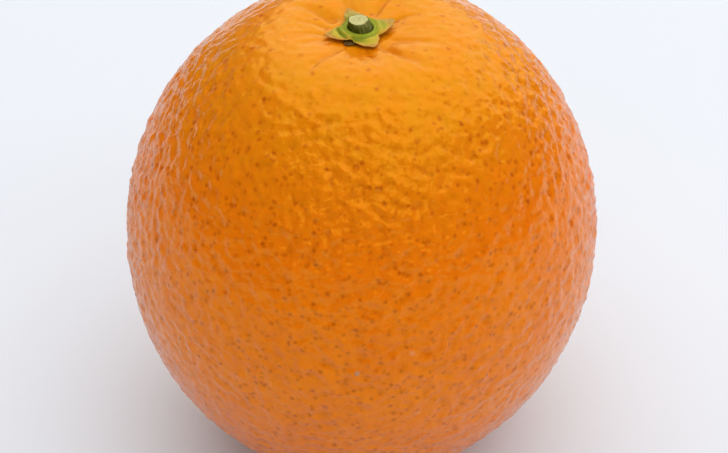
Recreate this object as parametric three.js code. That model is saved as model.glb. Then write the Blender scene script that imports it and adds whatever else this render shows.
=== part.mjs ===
// A whole orange as picked, standing on its blossom end, in millimetres with +Z up.
// Three pieces: the fruit, the green calyx in the hollow at its top, and the stub of cut stem in the calyx.
// The origin is at the middle of the small flat spot that the fruit rests on, and the front is towards -Y.
import * as THREE from "three";
import { ConvexHull } from "three/addons/math/ConvexHull.js";
import { mergeVertices } from "three/addons/utils/BufferGeometryUtils.js";

// The fruit's body is an ovoid whose two ends are pressed flat. Heights are from its equator.
const FRUIT_WIDTH = 80;
const OVAL = 1.115;
const EQUATOR_RADIUS = FRUIT_WIDTH / 2;
const POLE_RADIUS = EQUATOR_RADIUS * OVAL;
const CROWN = { depth: 3.4, reach: 13.5 };
const STEM_HOLLOW = { depth: 1.8, reach: 7.6 };
const BASE = { depth: 3.6, reach: 14 };
const REST_DEPTH = 40.9;
const SCAR = { depth: 0.6, reach: 1.7, edge: 5 };
const FEET = { at: [90, 210, 330], out: 14.3, depth: 0.42, reach: 1.8, clearance: 0.04 };
const LEAN = { share: 0.016, from: 6, to: 16 };
const SWELLS = [
  { times: 2, share: 0.004, at: -17 },
  { times: 3, share: 0.003, at: 7 },
];

// Creases that run out from the calyx over the fruit's shoulder.
const CREASE_START = 4.5;
const CREASE_HALF_WIDTH = 1.2;
const CREASES = [
  { at: 27, reach: 12, depth: 0.3 },
  { at: 62, reach: 14, depth: 0.45 },
  { at: 99, reach: 13, depth: 0.35 },
  { at: 106, reach: 14, depth: 0.4 },
  { at: 145, reach: 15, depth: 0.95 },
  { at: 168, reach: 12, depth: 0.3 },
  { at: 188, reach: 14, depth: 0.3 },
  { at: 202, reach: 13, depth: 0.25 },
  { at: 235, reach: 17, depth: 0.55 },
  { at: 268, reach: 10, depth: 0.6 },
  { at: 284, reach: 14, depth: 0.35 },
  { at: 312, reach: 17, depth: 1 },
  { at: 341, reach: 15, depth: 0.6 },
];

// The peel's oil glands are pits, larger than life: points of the surface with no other pit beside them.
const SURFACE_POINTS = 4000;
const FINER_AT_ENDS = { share: 0.75, reach: 0.03 };
const PIT = { depth: 0.4, unevenness: 0.5, step: 1.7 };
const PIT_STRIDE = 1009;
const BARE_ROUND_STEM = 4;
const BARE_ROUND_BASE = 16;
const BARE_EDGE = 5;

// Sepals by heading from +X towards +Y, in degrees. Each side has its own spread and curve to the tip.
const NOTCH_RADIUS = 3.5;
const SEPALS = [
  { at: 23, tip: 6, clockwise: { spread: 56, curve: 1.15 }, other: { spread: 32, curve: 1.9 } },
  { at: 110, tip: 5.7, clockwise: { spread: 42, curve: 1.9 }, other: { spread: 30, curve: 1 } },
  { at: 196, tip: 6.1, clockwise: { spread: 32, curve: 1.5 }, other: { spread: 46, curve: 0.75 } },
  { at: 296, tip: 5.8, clockwise: { spread: 50, curve: 0.5 }, other: { spread: 36, curve: 1.2 } },
];

// The calyx is a cup with a thick collar, and the sepals spread from the collar over the fruit.
const CLEARANCE = 0.27;
const CUP_RADIUS = 2.42;
const CUP_THICKNESS = 0.35;
const COLLAR = { top: 41, from: 2.62, to: 3.15 };
const CALYX_EDGE = 0.6;
const CALYX_ARCH = 0.3;
const SEPAL_STEPS = 4;
const CALYX_TURNS = 72;

// The cut stem stands in the cup and leans a little to the left.
const STEM_TOP = 42.2;
const STEM_PROFILE = { foot: 1.95, collar: 2.02, waist: 1.78, cut: 1.6, edge: 0.1 };
const STEM_LEAN = -0.2;
const STEM_RIBS = { count: 11, height: 0.06, from: 1, to: 1.5 };
const STEM_TURNS = 55;

const GOLDEN_ANGLE = Math.PI * (3 - Math.sqrt(5));
const { degToRad, radToDeg, lerp, smoothstep } = THREE.MathUtils;
const bell = (distance, reach) => Math.exp(-((distance / reach) ** 2));
const plateau = (distance, reach) => Math.exp(-((distance / reach) ** 4));

// The shorter way round from one heading to another, signed, in degrees.
function turnBetween(heading, other) {
  return ((((heading - other) % 360) + 540) % 360) - 180;
}

// The height of the fruit's crown over its equator, without creases or pits.
function crownHeight(out) {
  const ovoid = POLE_RADIUS * Math.sqrt(1 - (out / EQUATOR_RADIUS) ** 2);
  return ovoid - CROWN.depth * bell(out, CROWN.reach) - STEM_HOLLOW.depth * plateau(out, STEM_HOLLOW.reach);
}

function creaseDepth(out, heading) {
  let depth = 0;
  for (const crease of CREASES) {
    const aside = out * degToRad(turnBetween(heading, crease.at));
    const rise = smoothstep(out, CREASE_START, CREASE_START + 2);
    const fade = 1 - smoothstep(out, crease.reach / 2, crease.reach);
    depth += crease.depth * rise * fade * bell(aside, CREASE_HALF_WIDTH);
  }
  return depth;
}

// Where the three low points of the base are, which the fruit stands on round its flat spot.
const FOOT_PLACES = FEET.at.map((heading) => {
  const around = degToRad(heading);
  return new THREE.Vector3(FEET.out * Math.cos(around), FEET.out * Math.sin(around), -REST_DEPTH);
});

// The height of the blossom end, with its flat spot and the small scar in the middle.
function baseHeight(out, around) {
  const ovoid = -POLE_RADIUS * Math.sqrt(1 - Math.min(1, out / EQUATOR_RADIUS) ** 2);
  let drop = 0;
  for (const foot of FOOT_PLACES) {
    const away = Math.hypot(out * Math.cos(around) - foot.x, out * Math.sin(around) - foot.y);
    drop += FEET.depth * bell(away, FEET.reach);
  }
  const rounded = Math.max(ovoid + BASE.depth * bell(out, BASE.reach) - drop, FEET.clearance - REST_DEPTH);
  return rounded + SCAR.depth * bell(out, SCAR.reach) * (1 - smoothstep(out, SCAR.edge / 2, SCAR.edge));
}

// Moves a point of the unit sphere to the fruit's skin.
function toSkin(point) {
  const around = Math.atan2(point.y, point.x);
  const level = Math.hypot(point.x, point.y);
  const out = EQUATOR_RADIUS * level;
  const lean = LEAN.share * point.x * EQUATOR_RADIUS * smoothstep(out, LEAN.from, LEAN.to);
  const leaning = lean * (point.z > 0 ? 1 : smoothstep(out, BASE.reach, 2 * BASE.reach));
  const crown = point.z > 0;
  const height = crown ? crownHeight(out) - creaseDepth(out, radToDeg(around)) : baseHeight(out, around);
  let swell = 1;
  for (const { times, share, at } of SWELLS) {
    swell += share * level * Math.cos(times * (around - degToRad(at)));
  }
  const wide = swell * out;
  return new THREE.Vector3(wide * Math.cos(around), wide * Math.sin(around), height + leaning);
}

// Points of the unit sphere on one spiral, set closer together towards both ends.
function spiralPoints(count) {
  const points = [];
  for (let i = 0; i < count; i++) {
    const share = (i + 0.5) / count;
    const nearTop = share * Math.exp(-share / FINER_AT_ENDS.reach);
    const nearBase = (1 - share) * Math.exp(-(1 - share) / FINER_AT_ENDS.reach);
    const height = 1 - 2 * (share - FINER_AT_ENDS.share * (nearTop - nearBase));
    const out = Math.sqrt(1 - height * height);
    const around = i * GOLDEN_ANGLE;
    points.push(new THREE.Vector3(out * Math.cos(around), out * Math.sin(around), height));
  }
  return points;
}

// The triangles between neighbouring points of the sphere, three numbers each.
function trianglesBetween(directions) {
  const numbers = new Map(directions.map((point, index) => [point, index]));
  const corners = [];
  for (const face of new ConvexHull().setFromPoints(directions).faces) {
    for (let step = 0, edge = face.edge; step < 3; step++, edge = edge.next) {
      corners.push(numbers.get(edge.head().point));
    }
  }
  return corners;
}

// Goes round the points in long strides, and marks each one whose neighbours aren't marked yet.
function choosePits(count, corners) {
  const neighbours = Array.from({ length: count }, () => []);
  for (let i = 0; i < corners.length; i += 3) {
    const [a, b, c] = corners.slice(i, i + 3);
    neighbours[a].push(b, c);
    neighbours[b].push(c, a);
    neighbours[c].push(a, b);
  }
  const pits = new Set();
  for (let i = 0; i < count; i++) {
    const index = (i * PIT_STRIDE) % count;
    if (!neighbours[index].some((other) => pits.has(other))) pits.add(index);
  }
  return pits;
}

// A pit's depth: none under the calyx, and none on the flat spot.
function pitDepth(index, skin) {
  const out = Math.hypot(skin.x, skin.y);
  const bare = skin.z > 0 ? BARE_ROUND_STEM : BARE_ROUND_BASE;
  const share = smoothstep(out, bare, bare + BARE_EDGE);
  return PIT.depth * (1 + PIT.unevenness * Math.sin(index * PIT.step)) * share;
}

function fruitGeometry() {
  const directions = spiralPoints(SURFACE_POINTS);
  const corners = trianglesBetween(directions);
  const skin = directions.map(toSkin);
  for (const index of choosePits(SURFACE_POINTS, corners)) {
    skin[index].addScaledVector(directions[index], -pitDepth(index, skin[index]));
  }
  for (const foot of FOOT_PLACES) {
    skin.reduce((a, b) => (a.distanceTo(foot) < b.distanceTo(foot) ? a : b)).z = -REST_DEPTH;
  }
  return new THREE.BufferGeometry().setFromPoints(skin).setIndex(corners);
}

// How far the calyx reaches from its middle at this heading.
function calyxReach(heading) {
  let reach = NOTCH_RADIUS;
  for (const { at, tip, clockwise, other } of SEPALS) {
    const turn = turnBetween(heading, at);
    const side = turn < 0 ? clockwise : other;
    const share = Math.max(0, 1 - Math.abs(turn) / side.spread);
    reach = Math.max(reach, NOTCH_RADIUS + (tip - NOTCH_RADIUS) * share ** side.curve);
  }
  return reach;
}

// The calyx lies close over the skin, with a low arch under the collar's outer edge.
function calyxUnderside(out) {
  const rise = smoothstep(out, COLLAR.from, COLLAR.to);
  const fall = 1 - smoothstep(out, NOTCH_RADIUS + 1, NOTCH_RADIUS + 2);
  return crownHeight(out) + CLEARANCE + CALYX_ARCH * rise * fall;
}

const CUP_FLOOR = calyxUnderside(CUP_RADIUS) + CUP_THICKNESS;

// A turned disc, whose part outside the collar is then drawn out to the sepals' outline.
function calyxGeometry() {
  const rings = [CUP_RADIUS / 2, CUP_RADIUS, COLLAR.from, COLLAR.to];
  for (let step = 1; step <= SEPAL_STEPS; step++) {
    rings.push(lerp(COLLAR.to, NOTCH_RADIUS, step / SEPAL_STEPS));
  }
  const under = rings.map((out) => new THREE.Vector2(out, 0));
  const over = rings.map((out) => new THREE.Vector2(out, 1)).reverse();
  const profile = [new THREE.Vector2(0, 0), ...under, ...over, new THREE.Vector2(0, 1)];
  const disc = new THREE.LatheGeometry(profile, CALYX_TURNS).rotateX(Math.PI / 2);
  disc.deleteAttribute("normal");
  disc.deleteAttribute("uv");
  const geometry = mergeVertices(disc);
  const spots = geometry.getAttribute("position");
  for (let i = 0; i < spots.count; i++) {
    const around = Math.atan2(spots.getY(i), spots.getX(i));
    const ring = Math.hypot(spots.getX(i), spots.getY(i));
    const alongSepal = Math.max(0, ring - COLLAR.to) / (NOTCH_RADIUS - COLLAR.to);
    const reach = calyxReach(radToDeg(around));
    const out = ring > COLLAR.to ? lerp(COLLAR.to, reach, alongSepal) : ring;
    const edge = calyxUnderside(reach) + CALYX_EDGE;
    const cup = ring > CUP_RADIUS + 0.01 ? COLLAR.top : CUP_FLOOR;
    const top = ring > COLLAR.to ? lerp(COLLAR.top, edge, alongSepal) : cup;
    const height = spots.getZ(i) > 0.5 ? top : calyxUnderside(out);
    spots.setXYZ(i, out * Math.cos(around), out * Math.sin(around), height);
  }
  return geometry;
}

// A turned stub with a flared foot and a level cut, its side ribbed lengthways.
function stemGeometry() {
  const foot = CUP_FLOOR + CLEARANCE;
  const waist = lerp(COLLAR.top, STEM_TOP, 0.5);
  const profile = [
    new THREE.Vector2(0, foot),
    new THREE.Vector2(STEM_PROFILE.foot, foot),
    new THREE.Vector2(STEM_PROFILE.collar, COLLAR.top),
    new THREE.Vector2(STEM_PROFILE.waist, waist),
    new THREE.Vector2(STEM_PROFILE.cut, STEM_TOP - STEM_PROFILE.edge),
    new THREE.Vector2(STEM_PROFILE.cut - STEM_PROFILE.edge, STEM_TOP),
    new THREE.Vector2(0, STEM_TOP),
  ];
  const geometry = new THREE.LatheGeometry(profile, STEM_TURNS).rotateX(Math.PI / 2);
  const spots = geometry.getAttribute("position");
  for (let i = 0; i < spots.count; i++) {
    const around = Math.atan2(spots.getY(i), spots.getX(i));
    const out = Math.hypot(spots.getX(i), spots.getY(i));
    const side = smoothstep(out, STEM_RIBS.from, STEM_RIBS.to);
    const rib = side * STEM_RIBS.height * Math.cos(STEM_RIBS.count * around);
    const lean = STEM_LEAN * Math.max(0, (spots.getZ(i) - COLLAR.top) / (STEM_TOP - COLLAR.top));
    spots.setXY(i, (out + rib) * Math.cos(around) + lean, (out + rib) * Math.sin(around));
  }
  return geometry;
}

function piece(name, geometry, color, roughness) {
  geometry.computeVertexNormals();
  const mesh = new THREE.Mesh(geometry, new THREE.MeshStandardMaterial({ color, roughness, metalness: 0 }));
  mesh.name = name;
  return mesh;
}

const orange = new THREE.Group();
orange.add(piece("fruit", fruitGeometry(), 0xf08a1c, 0.45));
orange.add(piece("calyx", calyxGeometry(), 0x93ab3c, 0.6));
orange.add(piece("stem_stub", stemGeometry(), 0x55641e, 0.8));
orange.position.z = REST_DEPTH;

export default orange;
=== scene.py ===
# %% [markdown]
# # A whole orange on a pale table
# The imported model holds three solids: the fruit, its green calyx and the stub of cut stem. Each is replaced
# here by a finer mesh of the same form. The form comes from a few measures in millimetres. The mesh
# operators and the shaders then add what the solids leave out: pores, dimples, wrinkles, dried tips and the
# pale cut.

import math
import random

import bmesh
import bpy
import numpy as np
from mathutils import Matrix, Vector, noise
from mathutils.kdtree import KDTree


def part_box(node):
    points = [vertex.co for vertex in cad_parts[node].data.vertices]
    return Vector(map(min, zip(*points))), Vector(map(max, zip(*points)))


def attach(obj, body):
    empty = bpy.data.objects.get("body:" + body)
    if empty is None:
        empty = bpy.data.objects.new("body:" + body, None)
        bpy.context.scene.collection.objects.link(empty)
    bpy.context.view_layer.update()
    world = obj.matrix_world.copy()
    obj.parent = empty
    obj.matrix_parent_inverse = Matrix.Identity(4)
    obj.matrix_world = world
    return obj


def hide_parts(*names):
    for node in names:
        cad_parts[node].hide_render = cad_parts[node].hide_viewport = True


MM = 0.001
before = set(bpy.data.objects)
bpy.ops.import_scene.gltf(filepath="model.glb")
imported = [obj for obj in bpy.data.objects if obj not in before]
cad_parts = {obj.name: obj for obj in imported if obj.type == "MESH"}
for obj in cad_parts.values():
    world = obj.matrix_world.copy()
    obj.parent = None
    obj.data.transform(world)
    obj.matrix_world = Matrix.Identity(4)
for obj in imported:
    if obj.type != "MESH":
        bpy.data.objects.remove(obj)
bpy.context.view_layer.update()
for node in ("fruit", "calyx", "stem_stub"):
    low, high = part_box(node)
    print(node, "in the frame, mm:", [round(side / MM, 2) for side in high - low])

# %% [markdown]
# ## Where the camera stands
# The cut of the stem is round, and in the photograph its oval is 0.54 as high as wide. So the camera looks
# down on the stem by 33 degrees and on the fruit's middle by 37. The fruit fills the picture from a fair
# distance, so the lens is a long one. The camera could be placed by eye, but here it is worked out from
# what was measured in the picture, which is 728 by 453 pixels: where the fruit's middle is, and how large
# it is.

# %% Camera
PICTURE = (728, 453)
FRUIT_MIDDLE_PX = (360.6, 228.0)
LOOKING_DOWN = math.radians(37)
CAMERA_DISTANCE = 0.45
PX_PER_METRE = 5820
SENSOR = 36
REST_HEIGHT = 40.9 * MM

middle = Vector((0, 0, REST_HEIGHT))
toward_camera = Vector((0, -math.cos(LOOKING_DOWN), math.sin(LOOKING_DOWN)))
picture_up = Vector((0, math.sin(LOOKING_DOWN), math.cos(LOOKING_DOWN)))
aim = middle.copy()
aim.x += (PICTURE[0] / 2 - FRUIT_MIDDLE_PX[0]) / PX_PER_METRE
aim += picture_up * ((FRUIT_MIDDLE_PX[1] - PICTURE[1] / 2) / PX_PER_METRE)

camera = bpy.data.objects.new("camera", bpy.data.cameras.new("camera"))
bpy.context.scene.collection.objects.link(camera)
camera.location = aim + toward_camera * CAMERA_DISTANCE
camera.rotation_euler = (math.pi / 2 - LOOKING_DOWN, 0, 0)
camera.data.sensor_width = SENSOR
camera.data.lens = PX_PER_METRE * CAMERA_DISTANCE * SENSOR / PICTURE[0]
camera.data.clip_start = 0.01
bpy.context.scene.camera = camera
print("lens, mm:", round(camera.data.lens, 1))

# %% [markdown]
# ## The table
# The fruit stands on a white sheet. The lamps are warm, which keeps blue out of the orange, so the sheet is
# bluish by as much and looks white under them. It could be a backdrop that curves up behind the fruit, but
# the camera looks down and sees only the table, so a flat grid of one face does.

# %% Table
FLOOR_SIZE = 6.0
FLOOR_COLOUR = (0.645, 0.702, 0.930, 1)
FLOOR_ROUGHNESS, FLOOR_GLOSS = 0.6, 0.2


def sheet_material():
    material = bpy.data.materials.new("white_sheet")
    material.use_nodes = True
    shader = material.node_tree.nodes["Principled BSDF"]
    shader.inputs["Base Color"].default_value = FLOOR_COLOUR
    shader.inputs["Roughness"].default_value = FLOOR_ROUGHNESS
    shader.inputs["Specular IOR Level"].default_value = FLOOR_GLOSS
    return material


def put_in_scene(name, mesh_maker):
    """Makes an object at the origin from a bmesh."""
    mesh = bpy.data.meshes.new(name)
    mesh_maker.to_mesh(mesh)
    mesh_maker.free()
    piece = bpy.data.objects.new(name, mesh)
    bpy.context.scene.collection.objects.link(piece)
    return piece


sheet_maker = bmesh.new()
bmesh.ops.create_grid(sheet_maker, x_segments=1, y_segments=1, size=FLOOR_SIZE / 2)
floor = put_in_scene("floor", sheet_maker)
floor.data.materials.append(sheet_material())
print("table, m:", FLOOR_SIZE)

# %% [markdown]
# ## The light
# One very large soft light hangs over the fruit, a little to the right. Its reflection is the bright,
# sharp-edged sheen on the crown, and where the sheen ends the rind's lumps break it up. One set of lamps
# can't give both the colour of the peel and the shape of its sheen, so the two are set apart. Six lamps
# light the surfaces and are hidden from the gloss. Two warm ones show in the gloss alone. They hang just
# nearer to the fruit, because a reflected ray stops at the first lamp that it meets.

# %% Lamps
LAMP_COLOUR = (1.0, 0.965, 0.80)
SHEEN_COLOUR = (1.0, 0.93, 0.48)
# Each row is a name, a place and a size in metres, and a brightness.
SURFACE_LAMPS = (
    ("panel_overhead", (0.14, 0.50, 0.93), (1.85, 2.5), 1.3),
    ("panel_front", (0.14, -0.648, 0.84), (1.5, 0.22), 1.3),
    ("glow_overhead", (0.14, 0.36, 0.97), (3.6, 3.6), 0.3),
    ("fill_front", (0.25, -0.95, 0.48), (3.0, 1.2), 0.73),
    ("fill_left", (-0.98, -0.08, 0.72), (0.8, 0.9), 0.52),
    ("fill_right", (1.03, -0.08, 0.72), (0.8, 0.9), 0.52),
)
SHEEN_LAMPS = (
    ("sheen_overhead", (0.194, 0.440, 0.823), (1.63, 2.2), 1.18),
    ("sheen_front", (0.194, -0.570, 0.744), (1.4, 0.20), 1.4),
)


def soft_panel(name, place, size, brightness, colour):
    """A lamp as wide and high as this, in metres, that faces the fruit."""
    lamp = bpy.data.lights.new(name, "AREA")
    lamp.shape = "RECTANGLE"
    lamp.size, lamp.size_y = size
    lamp.energy = brightness * math.pi * size[0] * size[1]
    lamp.color = colour
    light = bpy.data.objects.new(name, lamp)
    bpy.context.scene.collection.objects.link(light)
    light.location = place
    light.rotation_euler = (middle - Vector(place)).to_track_quat("-Z", "Y").to_euler()
    light.visible_camera = False
    return light


for row in SURFACE_LAMPS:
    soft_panel(*row, LAMP_COLOUR).visible_glossy = False
for row in SHEEN_LAMPS:
    soft_panel(*row, SHEEN_COLOUR).visible_diffuse = False
print("lamps:", len(SURFACE_LAMPS), "for the surfaces and", len(SHEEN_LAMPS), "for the sheen")

# %% The room's glow
ROOM_COLOUR = (1.0, 0.94, 0.72, 1)
ROOM_STRENGTH = 0.20

world = bpy.data.worlds.new("studio")
world.use_nodes = True
background = world.node_tree.nodes["Background"]
background.inputs["Color"].default_value = ROOM_COLOUR
background.inputs["Strength"].default_value = ROOM_STRENGTH
bpy.context.scene.world = world
bpy.context.scene.view_settings.view_transform = "Standard"
print("room's strength:", ROOM_STRENGTH)

# %% [markdown]
# ## The form of the fruit
# An orange grows as an ovoid, and its two ends are pressed in. It could be sculpted from a ball, but then
# the mesh would drift away from the solid. The solid was made with the formula below, so the fine mesh uses
# the same one. Only the hollow round the stem is a little wider here, and the creases are softer. Heights
# are in millimetres from the equator, and `out` is the distance from the core. Whole arrays of points go
# through it at once.

# %% Form
EQUATOR_RADIUS = 40
POLE_RADIUS = EQUATOR_RADIUS * 1.115
REST_DEPTH = REST_HEIGHT / MM
# Each is a depth and how far out it reaches, in mm.
CROWN = (3.4, 13.5)
STEM_HOLLOW = (1.8, 10)
BASE = (3.6, 14)
# How far the right side is raised, as a share of its distance from the core, and where that begins, in mm.
LEAN = 0.016
LEAN_BEGINS = (6, 16)
# Each row is how many swells go round, their share of the radius, and where one of them is, in degrees.
SWELLS = ((2, 0.004, -17), (3, 0.003, 7))


def bell(distance, reach):
    return np.exp(-((distance / reach) ** 2))


def smooth(value, low, high):
    share = np.clip((value - low) / (high - low), 0, 1)
    return share * share * (3 - 2 * share)


def crown_height(out):
    ovoid = POLE_RADIUS * np.sqrt(1 - np.minimum(1, out / EQUATOR_RADIUS) ** 2)
    return ovoid - CROWN[0] * bell(out, CROWN[1]) - STEM_HOLLOW[0] * bell(out, STEM_HOLLOW[1])


def base_height(out):
    ovoid = -POLE_RADIUS * np.sqrt(1 - np.minimum(1, out / EQUATOR_RADIUS) ** 2)
    return np.maximum(ovoid + BASE[0] * bell(out, BASE[1]), -REST_DEPTH)


def swollen(level, around):
    """How much the swells widen the fruit at these headings."""
    swells = (share * level * np.cos(times * (around - math.radians(at))) for times, share, at in SWELLS)
    return 1 + sum(swells)


def skin_form(directions):
    """Moves points of the unit sphere to the smooth skin, in mm from the equator's middle."""
    around = np.arctan2(directions[:, 1], directions[:, 0])
    level = np.hypot(directions[:, 0], directions[:, 1])
    out = EQUATOR_RADIUS * level
    top = directions[:, 2] > 0
    lean = LEAN * EQUATOR_RADIUS * directions[:, 0] * smooth(out, *LEAN_BEGINS)
    lean = np.where(top, lean, lean * smooth(out, BASE[1], 2 * BASE[1]))
    height = np.where(top, crown_height(out), base_height(out)) + lean
    swell = swollen(level, around)
    return np.column_stack((swell * out * np.cos(around), swell * out * np.sin(around), height))


print("hollow's floor, mm above the table:", round(REST_DEPTH + float(crown_height(0.0)), 2))

# %% [markdown]
# ## The creases round the stem
# The rind was drawn in round the stem while it grew. So creases run outwards from the calyx and fade over
# the shoulder. Each is a fold with a steep side and a gentle one, and a fine line lies at its bottom. A
# wrinkled noise would be quicker, but it can't put a crease where the photograph has one, so each has a row
# of its own. They bend a little on the way, because noise moves them aside.

# %% Creases
# Each row is a heading in degrees, how far out it reaches and how deep it is, in mm, and how sharp its
# line is.
CREASES = (
    (27, 12, 0.20, 0.4), (62, 14, 0.35, 0.9), (99, 13, 0.32, 1.0), (106, 14, 0.36, 0.8),
    (145, 15, 0.80, 0.3), (168, 12, 0.15, 0.3), (188, 14, 0.15, 0.7), (202, 13, 0.15, 0.7),
    (235, 17, 0.42, 0.9), (270, 11, 0.30, 0.4), (284, 14, 0.28, 1.0), (312, 17, 0.80, 0.3),
    (341, 15, 0.35, 0.4),
)
CREASE_STARTS = (4.2, 6.5)
STEEP_WIDTH, GENTLE_WIDTH = 0.5, 1.25
LINE_WIDTH = 0.32
LINE_DEPTH = 0.16
FINE_CREASES = 26
FINE_REACH = (9, 15)
FINE_SHARPNESS = (0.15, 0.55)
fine_draw = random.Random(5)


def turn_between(heading, other):
    """The shorter way round from one heading to another, signed, in degrees."""
    return (heading - other + 180) % 360 - 180


def fine_creases():
    """Short faint lines between the creases, in rows like those above."""
    rows = []
    for number in range(FINE_CREASES):
        at = 360 * (number + fine_draw.random()) / FINE_CREASES
        rows.append((at, fine_draw.uniform(*FINE_REACH), 0.0, fine_draw.uniform(*FINE_SHARPNESS)))
    return tuple(rows)


def crease_depths(out, heading, wander):
    """How deep the creases are at these places, and the lines at their bottoms, in mm."""
    broad = np.zeros_like(out)
    lines = np.zeros_like(out)
    for at, reach, deep, sharp in CREASES + fine_creases():
        aside = out * np.radians(turn_between(heading, at)) + wander
        along = smooth(out, *CREASE_STARTS) * (1 - smooth(out, reach / 2, reach))
        steep = 1 if at % 2 else -1
        broad += along * deep * bell(aside, np.where(aside * steep > 0, STEEP_WIDTH, GENTLE_WIDTH))
        lines += along * sharp * LINE_DEPTH * bell(aside, LINE_WIDTH)
    return broad, lines


print("creases:", len(CREASES), "and", FINE_CREASES, "fine ones")

# %% [markdown]
# ## The rind
# A sphere made of rings has a knot at each pole, just where the calyx and the scar are. So this one starts
# as a cube, cut into an even grid, and every corner is then moved out to the skin. The grid stays nearly
# square all over, about half a millimetre wide, which is fine enough for the dimples to be real ones. It is
# drawn up towards the crown, where the creases need more points.

# %% Rind mesh
GRID_CUTS = 127
FINER_AT_CROWN = 0.3


def corners_of(piece):
    """The corners of a piece's mesh, one row each."""
    corners = np.empty(len(piece.data.vertices) * 3)
    piece.data.vertices.foreach_get("co", corners)
    return corners.reshape(-1, 3)


def unit(vectors):
    return vectors / np.linalg.norm(vectors, axis=1)[:, None]


def drawn_to_crown(directions):
    """Turns directions towards the top, most where they are near it."""
    from_top = np.arccos(np.clip(directions[:, 2], -1, 1))
    from_top -= FINER_AT_CROWN * np.sin(from_top) * (1 + np.cos(from_top)) / 2
    around = np.arctan2(directions[:, 1], directions[:, 0])
    level = np.sin(from_top)
    return np.column_stack((level * np.cos(around), level * np.sin(around), np.cos(from_top)))


rind_maker = bmesh.new()
bmesh.ops.create_cube(rind_maker, size=2)
bmesh.ops.subdivide_edges(rind_maker, edges=rind_maker.edges[:], cuts=GRID_CUTS, use_grid_fill=True)
rind = put_in_scene("rind", rind_maker)

skin = skin_form(drawn_to_crown(unit(np.tan(corners_of(rind) * math.pi / 4))))
outward = unit(skin / (EQUATOR_RADIUS ** 2, EQUATOR_RADIUS ** 2, POLE_RADIUS ** 2))
out = np.hypot(skin[:, 0], skin[:, 1])
heading = np.degrees(np.arctan2(skin[:, 1], skin[:, 0]))
lower = skin[:, 2] < 0
upper_half = skin[:, 2] > 0
print("rind:", len(rind.data.polygons), "faces")

# %% [markdown]
# ## Dimples over the oil glands
# The rind dips over each oil gland. Glands grow one or two millimetres apart, so they are set out on a
# spiral over the whole fruit, which spaces them evenly, and each is then nudged at random. Each has its own
# depth and width. A bump in the shader could stand for them, but the outline of the fruit would stay
# smooth. Near the stem the rind is tight: some glands are missing there, and the rest are shallower.

# %% Oil glands
GLANDS = 7400
GLAND_NUDGE = 1.3
GOLDEN_ANGLE = math.pi * (3 - math.sqrt(5))
draw = random.Random(11)


def gland_places():
    """Spots on a spiral over the sphere, each nudged at random."""
    places = []
    for i in range(GLANDS):
        up = 1 - 2 * (i + 0.5) / GLANDS
        flat = math.sqrt(1 - up * up)
        spot = Vector((flat * math.cos(i * GOLDEN_ANGLE), flat * math.sin(i * GOLDEN_ANGLE), up))
        astray = Vector((draw.gauss(0, 1), draw.gauss(0, 1), draw.gauss(0, 1)))
        places.append((spot + astray * GLAND_NUDGE / EQUATOR_RADIUS / 2).normalized())
    return skin_form(np.array(places))


# %% Dimples
GLAND_REACH = 2.2
DIMPLE_DEPTH = 0.26
DIMPLE_WIDTHS = (0.4, 0.8)
# Above 1, more dimples are shallow than deep.
SHALLOW_DIMPLES = 1.5
# The rind is tight within the first distance from the core and loose from the second on, in mm.
TIGHT_AT_CROWN = (10, 26)
SHALLOWER_AT_CROWN = 0.55
MISSING_AT_CROWN = 0.6

tree = KDTree(len(skin))
for index, place in enumerate(skin.tolist()):
    tree.insert(place, index)
tree.balance()

dimples = np.zeros(len(skin))
for place in gland_places().tolist():
    from_core = math.hypot(place[0], place[1])
    tight = 0.0 if place[2] < 0 else 1 - float(smooth(from_core, *TIGHT_AT_CROWN))
    deep = draw.random() ** SHALLOW_DIMPLES * (1 - SHALLOWER_AT_CROWN * tight)
    if draw.random() < MISSING_AT_CROWN * tight:
        continue
    wide = draw.uniform(*DIMPLE_WIDTHS)
    for _, index, distance in tree.find_range(place, GLAND_REACH):
        dimples[index] += deep * math.exp(-((distance / wide) ** 2))
print("deepest dimple, mm:", round(float(DIMPLE_DEPTH * dimples.max()), 2))

# %% [markdown]
# ## Lumps
# Between the glands the rind swells, which makes the pebbled look where the sheen ends. Noise of three
# sizes gives the lumps. They are weaker near the stem, where the rind is tight, and in the photograph also
# on the lower half and on the flanks, so a mask holds them back there.

# %% Lumps
# Each row is the height of the lumps and their size, in mm.
LUMPS = ((0.12, 4.0), (0.48, 1.6), (0.17, 0.9))
LUMPS_EVERYWHERE, LUMPS_WHERE_LOOSE = 0.26, 0.80
# The rind turns from tight to loose between these distances from the core, in mm.
LOOSE_FROM = (12, 30)
# How much of the lumps is missing on the lower half, on the four flanks and on the two sides.
LOWER_CALM, FLANK_CALM, SIDE_CALM = 0.45, 0.45, 0.25
CALM_BELOW = (-16, 8)
# How far apart two seeds read the noise.
SEED_STEP = (17.3, 5.1, 9.7)


def noise_at(points, size, seed):
    """Smooth noise from about -1 to 1, with lumps of this size in mm."""
    shift = Vector([seed * step for step in SEED_STEP])
    return np.array([noise.noise(Vector(point) / size + shift) for point in points.tolist()])


lumps = sum(size * noise_at(skin, reach, seed) for seed, (size, reach) in enumerate(LUMPS))
looseness = np.where(lower, 1, smooth(out, *LOOSE_FROM))
turn = np.radians(heading)
pebbly = looseness * (1 - LOWER_CALM * (1 - smooth(skin[:, 2], *CALM_BELOW)))
pebbly *= 1 - FLANK_CALM * np.sin(2 * turn) ** 2 - SIDE_CALM * np.cos(turn) ** 2
print("highest lump, mm:", round(float(lumps.max()), 2))

# %% [markdown]
# ## Lumps, dimples and creases together
# The relief goes along the skin's own direction outwards. It fades out under the calyx, which has to lie on
# the rind, and most of it on the resting face. The creases are cut straight down, because they lie on the
# nearly flat crown.

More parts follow.
